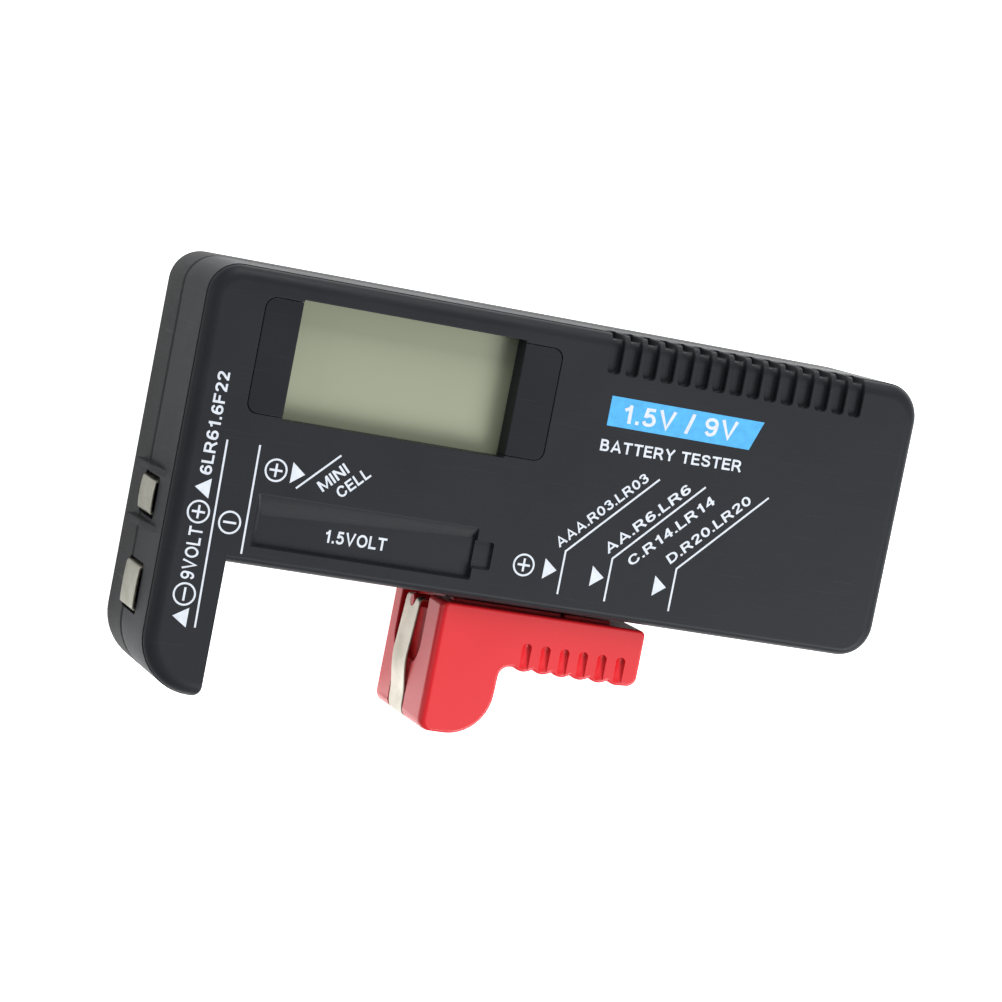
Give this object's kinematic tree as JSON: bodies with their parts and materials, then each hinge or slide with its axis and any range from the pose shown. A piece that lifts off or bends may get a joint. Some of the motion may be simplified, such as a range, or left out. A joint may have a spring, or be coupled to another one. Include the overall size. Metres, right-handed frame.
{
  "type": "battery tester",
  "caption": "Pocket battery tester with a blank display, a red sliding cell holder on a slot along its lower edge, and sprung contacts for a snap battery on its end.",
  "frame": {"origin": "centre of the underside of the whole part, lying on its back", "axes": "+X along the length towards the plain end, +Y up the face away from the slider, +Z out of the display face"},
  "size_m": [0.1094, 0.06, 0.0245],
  "materials": {
    "case_black": "finely textured moulded ABS, satin on the edges",
    "bezel_black": "smooth moulded plastic",
    "display": "blank grey-green liquid crystal cell under a clear sheet",
    "reflector_foil": "matt foil",
    "holder_white": "plain moulded plastic",
    "zebra_rubber": "layered elastomer",
    "board_green": "solder mask over glass epoxy",
    "epoxy_black": "moulded or potted epoxy",
    "ferrite": "sintered ferrite drum",
    "capacitor_can": "sleeved can",
    "resistor_ceramic": "lacquered ceramic",
    "contact_nickel": "nickel-plated spring strip, lightly rolled",
    "slider_red": "satin moulded ABS",
    "screw_steel": "zinc-plated",
    "wire_red": "PVC insulation",
    "wire_black": "PVC insulation"
  },
  "bodies": {
    "case": {"front_shell": "case_black", "rear_shell": "case_black", "display_bezel": "bezel_black", "lcd_glass": "display", "lcd_reflector": "reflector_foil", "lcd_holder": "holder_white", "zebra_strip": "zebra_rubber", "main_pcb": "board_green", "ic_blob": "epoxy_black", "boost_inductor": "ferrite", "filter_capacitor": "capacitor_can", "load_resistor_low": "resistor_ceramic", "load_resistor_high": "resistor_ceramic", "supply_diode": "epoxy_black", "contact_rail": "contact_nickel", "case_screw_1": "screw_steel", "case_screw_2": "screw_steel", "case_screw_3": "screw_steel", "case_screw_4": "screw_steel", "pcb_screw_1": "screw_steel", "pcb_screw_2": "screw_steel", "wire_9v_positive": "wire_red", "wire_rail": "wire_red", "wire_9v_negative": "wire_black", "wire_arm": "wire_black"},
    "slider": {"slider_body": "slider_red", "slider_retainer": "case_black", "slider_wiper": "contact_nickel", "slider_screw": "screw_steel"},
    "slider_leaf": {"slider_contact": "contact_nickel"},
    "arm_leaf": {"arm_contact": "contact_nickel"},
    "positive_leaf": {"contact_9v_positive": "contact_nickel"},
    "negative_leaf": {"contact_9v_negative": "contact_nickel"}
  },
  "joints": [
    {"name": "slider_slide", "type": "slide", "parent": "case", "child": "slider", "axis": [1, 0, 0], "range_m": [-0.0285, 0.034]},
    {"name": "slider_contact_press", "type": "slide", "parent": "slider", "child": "slider_leaf", "axis": [1, 0, 0], "range_m": [0, 0.0008], "stiffness_N_per_m": 1500},
    {"name": "arm_contact_press", "type": "slide", "parent": "case", "child": "arm_leaf", "axis": [-1, 0, 0], "range_m": [0, 0.0006], "stiffness_N_per_m": 1500},
    {"name": "positive_contact_press", "type": "slide", "parent": "case", "child": "positive_leaf", "axis": [1, 0, 0], "range_m": [0, 0.0006], "stiffness_N_per_m": 1500},
    {"name": "negative_contact_press", "type": "slide", "parent": "case", "child": "negative_leaf", "axis": [1, 0, 0], "range_m": [0, 0.0006], "stiffness_N_per_m": 1500}
  ]
}
